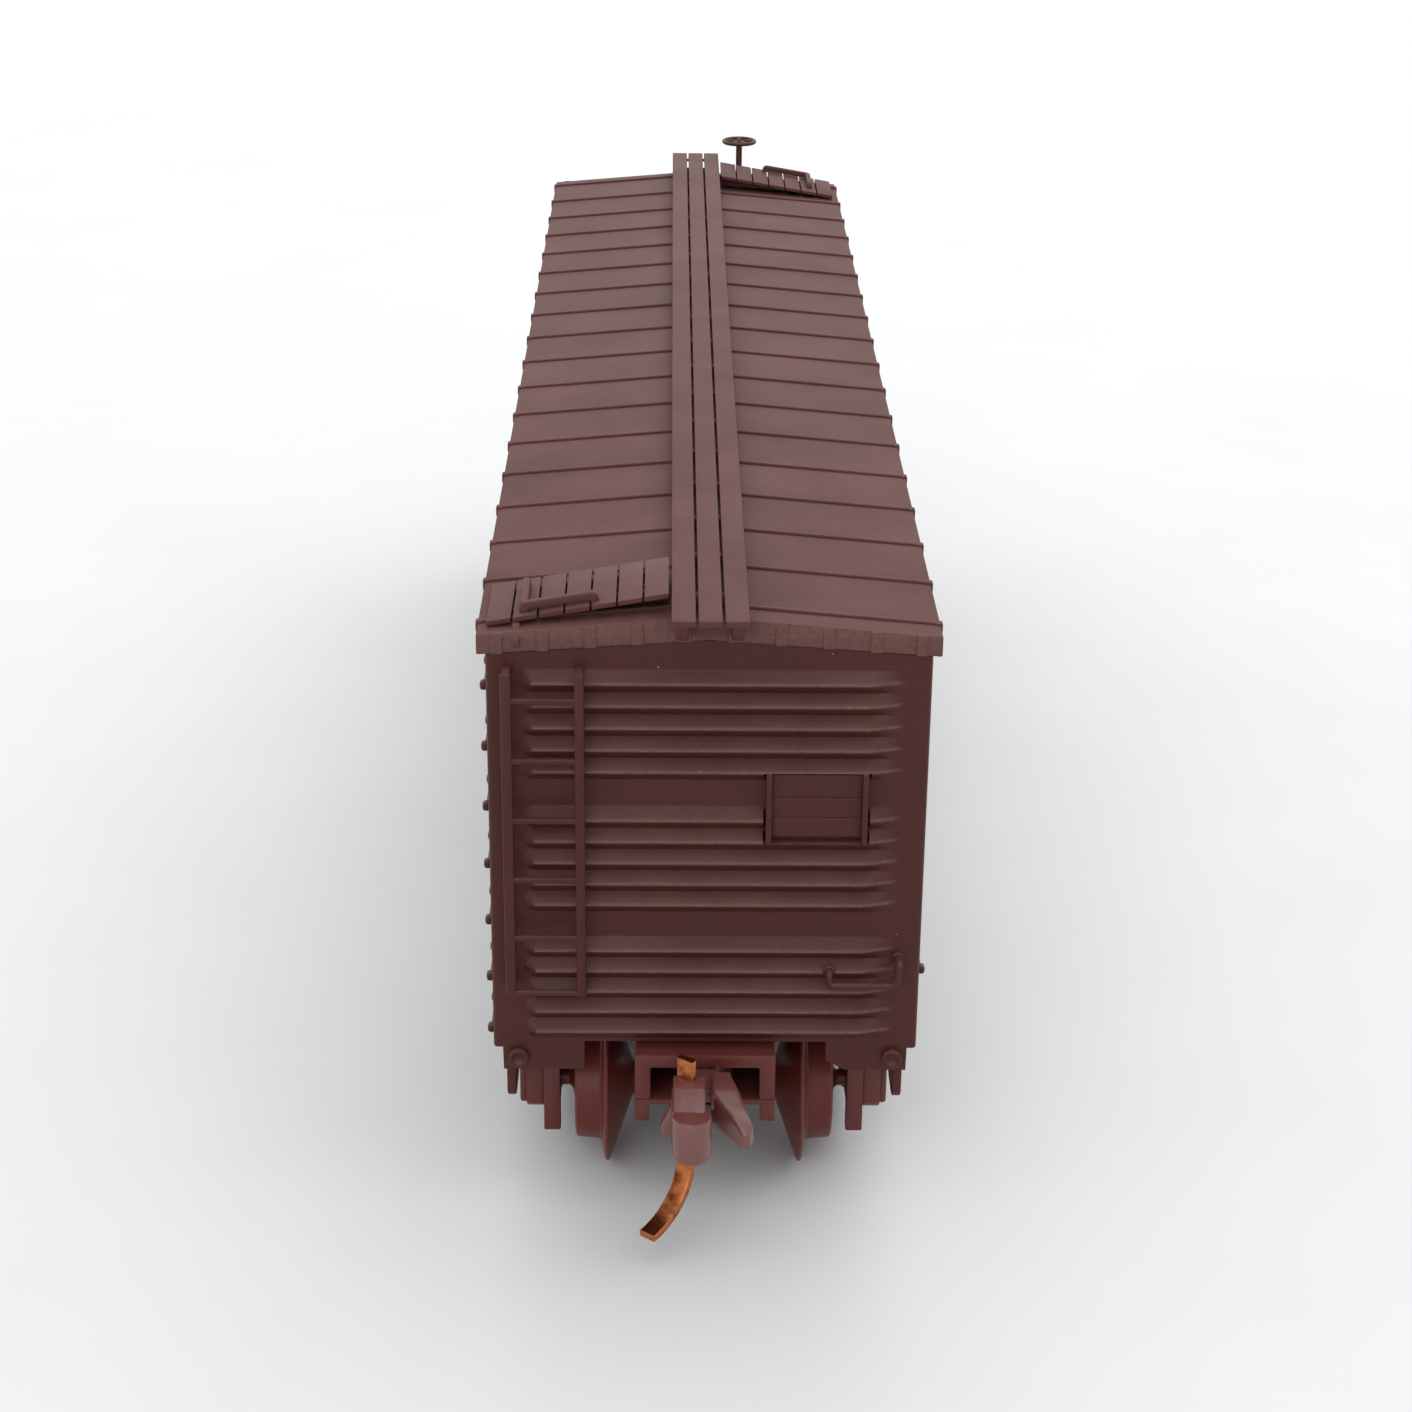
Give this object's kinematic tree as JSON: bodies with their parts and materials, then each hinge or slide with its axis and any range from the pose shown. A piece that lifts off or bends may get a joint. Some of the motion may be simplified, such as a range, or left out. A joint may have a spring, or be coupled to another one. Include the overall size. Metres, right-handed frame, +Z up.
{
  "type": "model box car",
  "caption": "Small-scale model railway box car: ribbed roof with walkways, corrugated ends, sliding side doors, swivelling trucks and knuckle couplers.",
  "frame": {"origin": "centre of the car in plan, on the plane the wheel flanges stand on", "axes": "+Y along the car towards the brake-wheel end, +X across it to the right seen from the lumber-door end, +Z up"},
  "size_m": [0.0184, 0.091, 0.0284],
  "materials": {
    "body_brown": "satin moulded mineral brown, faint speckle",
    "roof_brown": "satin moulded mineral brown, lightly dusty",
    "truck_brown": "semi-gloss red-brown engineering plastic",
    "pin_bronze": "bright bronze strip",
    "weight_steel": "plain rolled steel",
    "spring_steel": "drawn wire"
  },
  "bodies": {
    "car_body": {"side_left": "body_brown", "side_right": "body_brown", "end_a": "body_brown", "end_b": "body_brown", "lumber_door": "body_brown", "end_ladder_a": "body_brown", "end_ladder_b": "body_brown", "side_ladder_left": "body_brown", "side_ladder_right": "body_brown", "end_grab_a": "body_brown", "end_grab_b": "body_brown", "side_grab_left": "body_brown", "side_grab_right": "body_brown", "corner_steps": "body_brown", "door_tracks_left": "body_brown", "door_tracks_right": "body_brown", "brake_step": "body_brown", "brake_eye_bracket": "body_brown", "brake_heel_bracket": "body_brown", "underframe": "body_brown", "roof": "roof_brown", "running_board": "roof_brown", "lateral_board_a": "roof_brown", "lateral_board_b": "roof_brown", "roof_grab_a": "roof_brown", "roof_grab_b": "roof_brown", "ballast_plate": "weight_steel", "bolster_pin_a": "truck_brown", "bolster_pin_b": "truck_brown"},
    "truck_a": {"truck_frame_a": "truck_brown", "coupler_lid_a": "truck_brown", "coupler_spring_a": "spring_steel"},
    "axle_a_outer": {"wheelset_a_outer": "truck_brown"},
    "axle_a_inner": {"wheelset_a_inner": "truck_brown"},
    "knuckle_half_a": {"coupler_knuckle_a": "truck_brown", "trip_pin_a": "pin_bronze"},
    "guard_half_a": {"coupler_guard_a": "truck_brown"},
    "truck_b": {"truck_frame_b": "truck_brown", "coupler_lid_b": "truck_brown", "coupler_spring_b": "spring_steel"},
    "axle_b_outer": {"wheelset_b_outer": "truck_brown"},
    "axle_b_inner": {"wheelset_b_inner": "truck_brown"},
    "knuckle_half_b": {"coupler_knuckle_b": "truck_brown", "trip_pin_b": "pin_bronze"},
    "guard_half_b": {"coupler_guard_b": "truck_brown"},
    "sliding_door_left": {"door_left": "body_brown"},
    "sliding_door_right": {"door_right": "body_brown"},
    "hand_brake": {"brake_staff": "body_brown", "brake_wheel": "body_brown"}
  },
  "joints": [
    {"name": "door_right_slide", "type": "slide", "parent": "car_body", "child": "sliding_door_right", "axis": [0, 1, 0], "range_m": [0, 0.0114]},
    {"name": "door_left_slide", "type": "slide", "parent": "car_body", "child": "sliding_door_left", "axis": [0, -1, 0], "range_m": [0, 0.0114]},
    {"name": "brake_spin", "type": "hinge", "parent": "car_body", "child": "hand_brake", "pos_m": [0.00284, 0.04095, 0.018], "axis": [0, 0, 1], "continuous": true},
    {"name": "truck_a_swivel", "type": "hinge", "parent": "car_body", "child": "truck_a", "pos_m": [0, -0.0306, 0.0066], "axis": [0, 0, 1], "range_deg": [-8, 8]},
    {"name": "axle_a_outer_roll", "type": "hinge", "parent": "truck_a", "child": "axle_a_outer", "pos_m": [0, -0.0359, 0.0036], "axis": [1, 0, 0], "continuous": true},
    {"name": "axle_a_inner_roll", "type": "hinge", "parent": "truck_a", "child": "axle_a_inner", "pos_m": [0, -0.0253, 0.0036], "axis": [1, 0, 0], "continuous": true},
    {"name": "knuckle_a_swing", "type": "hinge", "parent": "truck_a", "child": "knuckle_half_a", "pos_m": [0, -0.0388, 0.006], "axis": [0, 0, 1], "range_deg": [-6, 0], "stiffness_Nm_per_rad": 0.00001},
    {"name": "guard_a_swing", "type": "hinge", "parent": "truck_a", "child": "guard_half_a", "pos_m": [0, -0.0388, 0.006], "axis": [0, 0, 1], "range_deg": [0, 6], "stiffness_Nm_per_rad": 0.00001},
    {"name": "truck_b_swivel", "type": "hinge", "parent": "car_body", "child": "truck_b", "pos_m": [0, 0.0306, 0.0066], "axis": [0, 0, 1], "range_deg": [-8, 8]},
    {"name": "axle_b_outer_roll", "type": "hinge", "parent": "truck_b", "child": "axle_b_outer", "pos_m": [0, 0.0359, 0.0036], "axis": [1, 0, 0], "continuous": true},
    {"name": "axle_b_inner_roll", "type": "hinge", "parent": "truck_b", "child": "axle_b_inner", "pos_m": [0, 0.0253, 0.0036], "axis": [1, 0, 0], "continuous": true},
    {"name": "knuckle_b_swing", "type": "hinge", "parent": "truck_b", "child": "knuckle_half_b", "pos_m": [0, 0.0388, 0.006], "axis": [0, 0, 1], "range_deg": [-6, 0], "stiffness_Nm_per_rad": 0.00001},
    {"name": "guard_b_swing", "type": "hinge", "parent": "truck_b", "child": "guard_half_b", "pos_m": [0, 0.0388, 0.006], "axis": [0, 0, 1], "range_deg": [0, 6], "stiffness_Nm_per_rad": 0.00001}
  ]
}
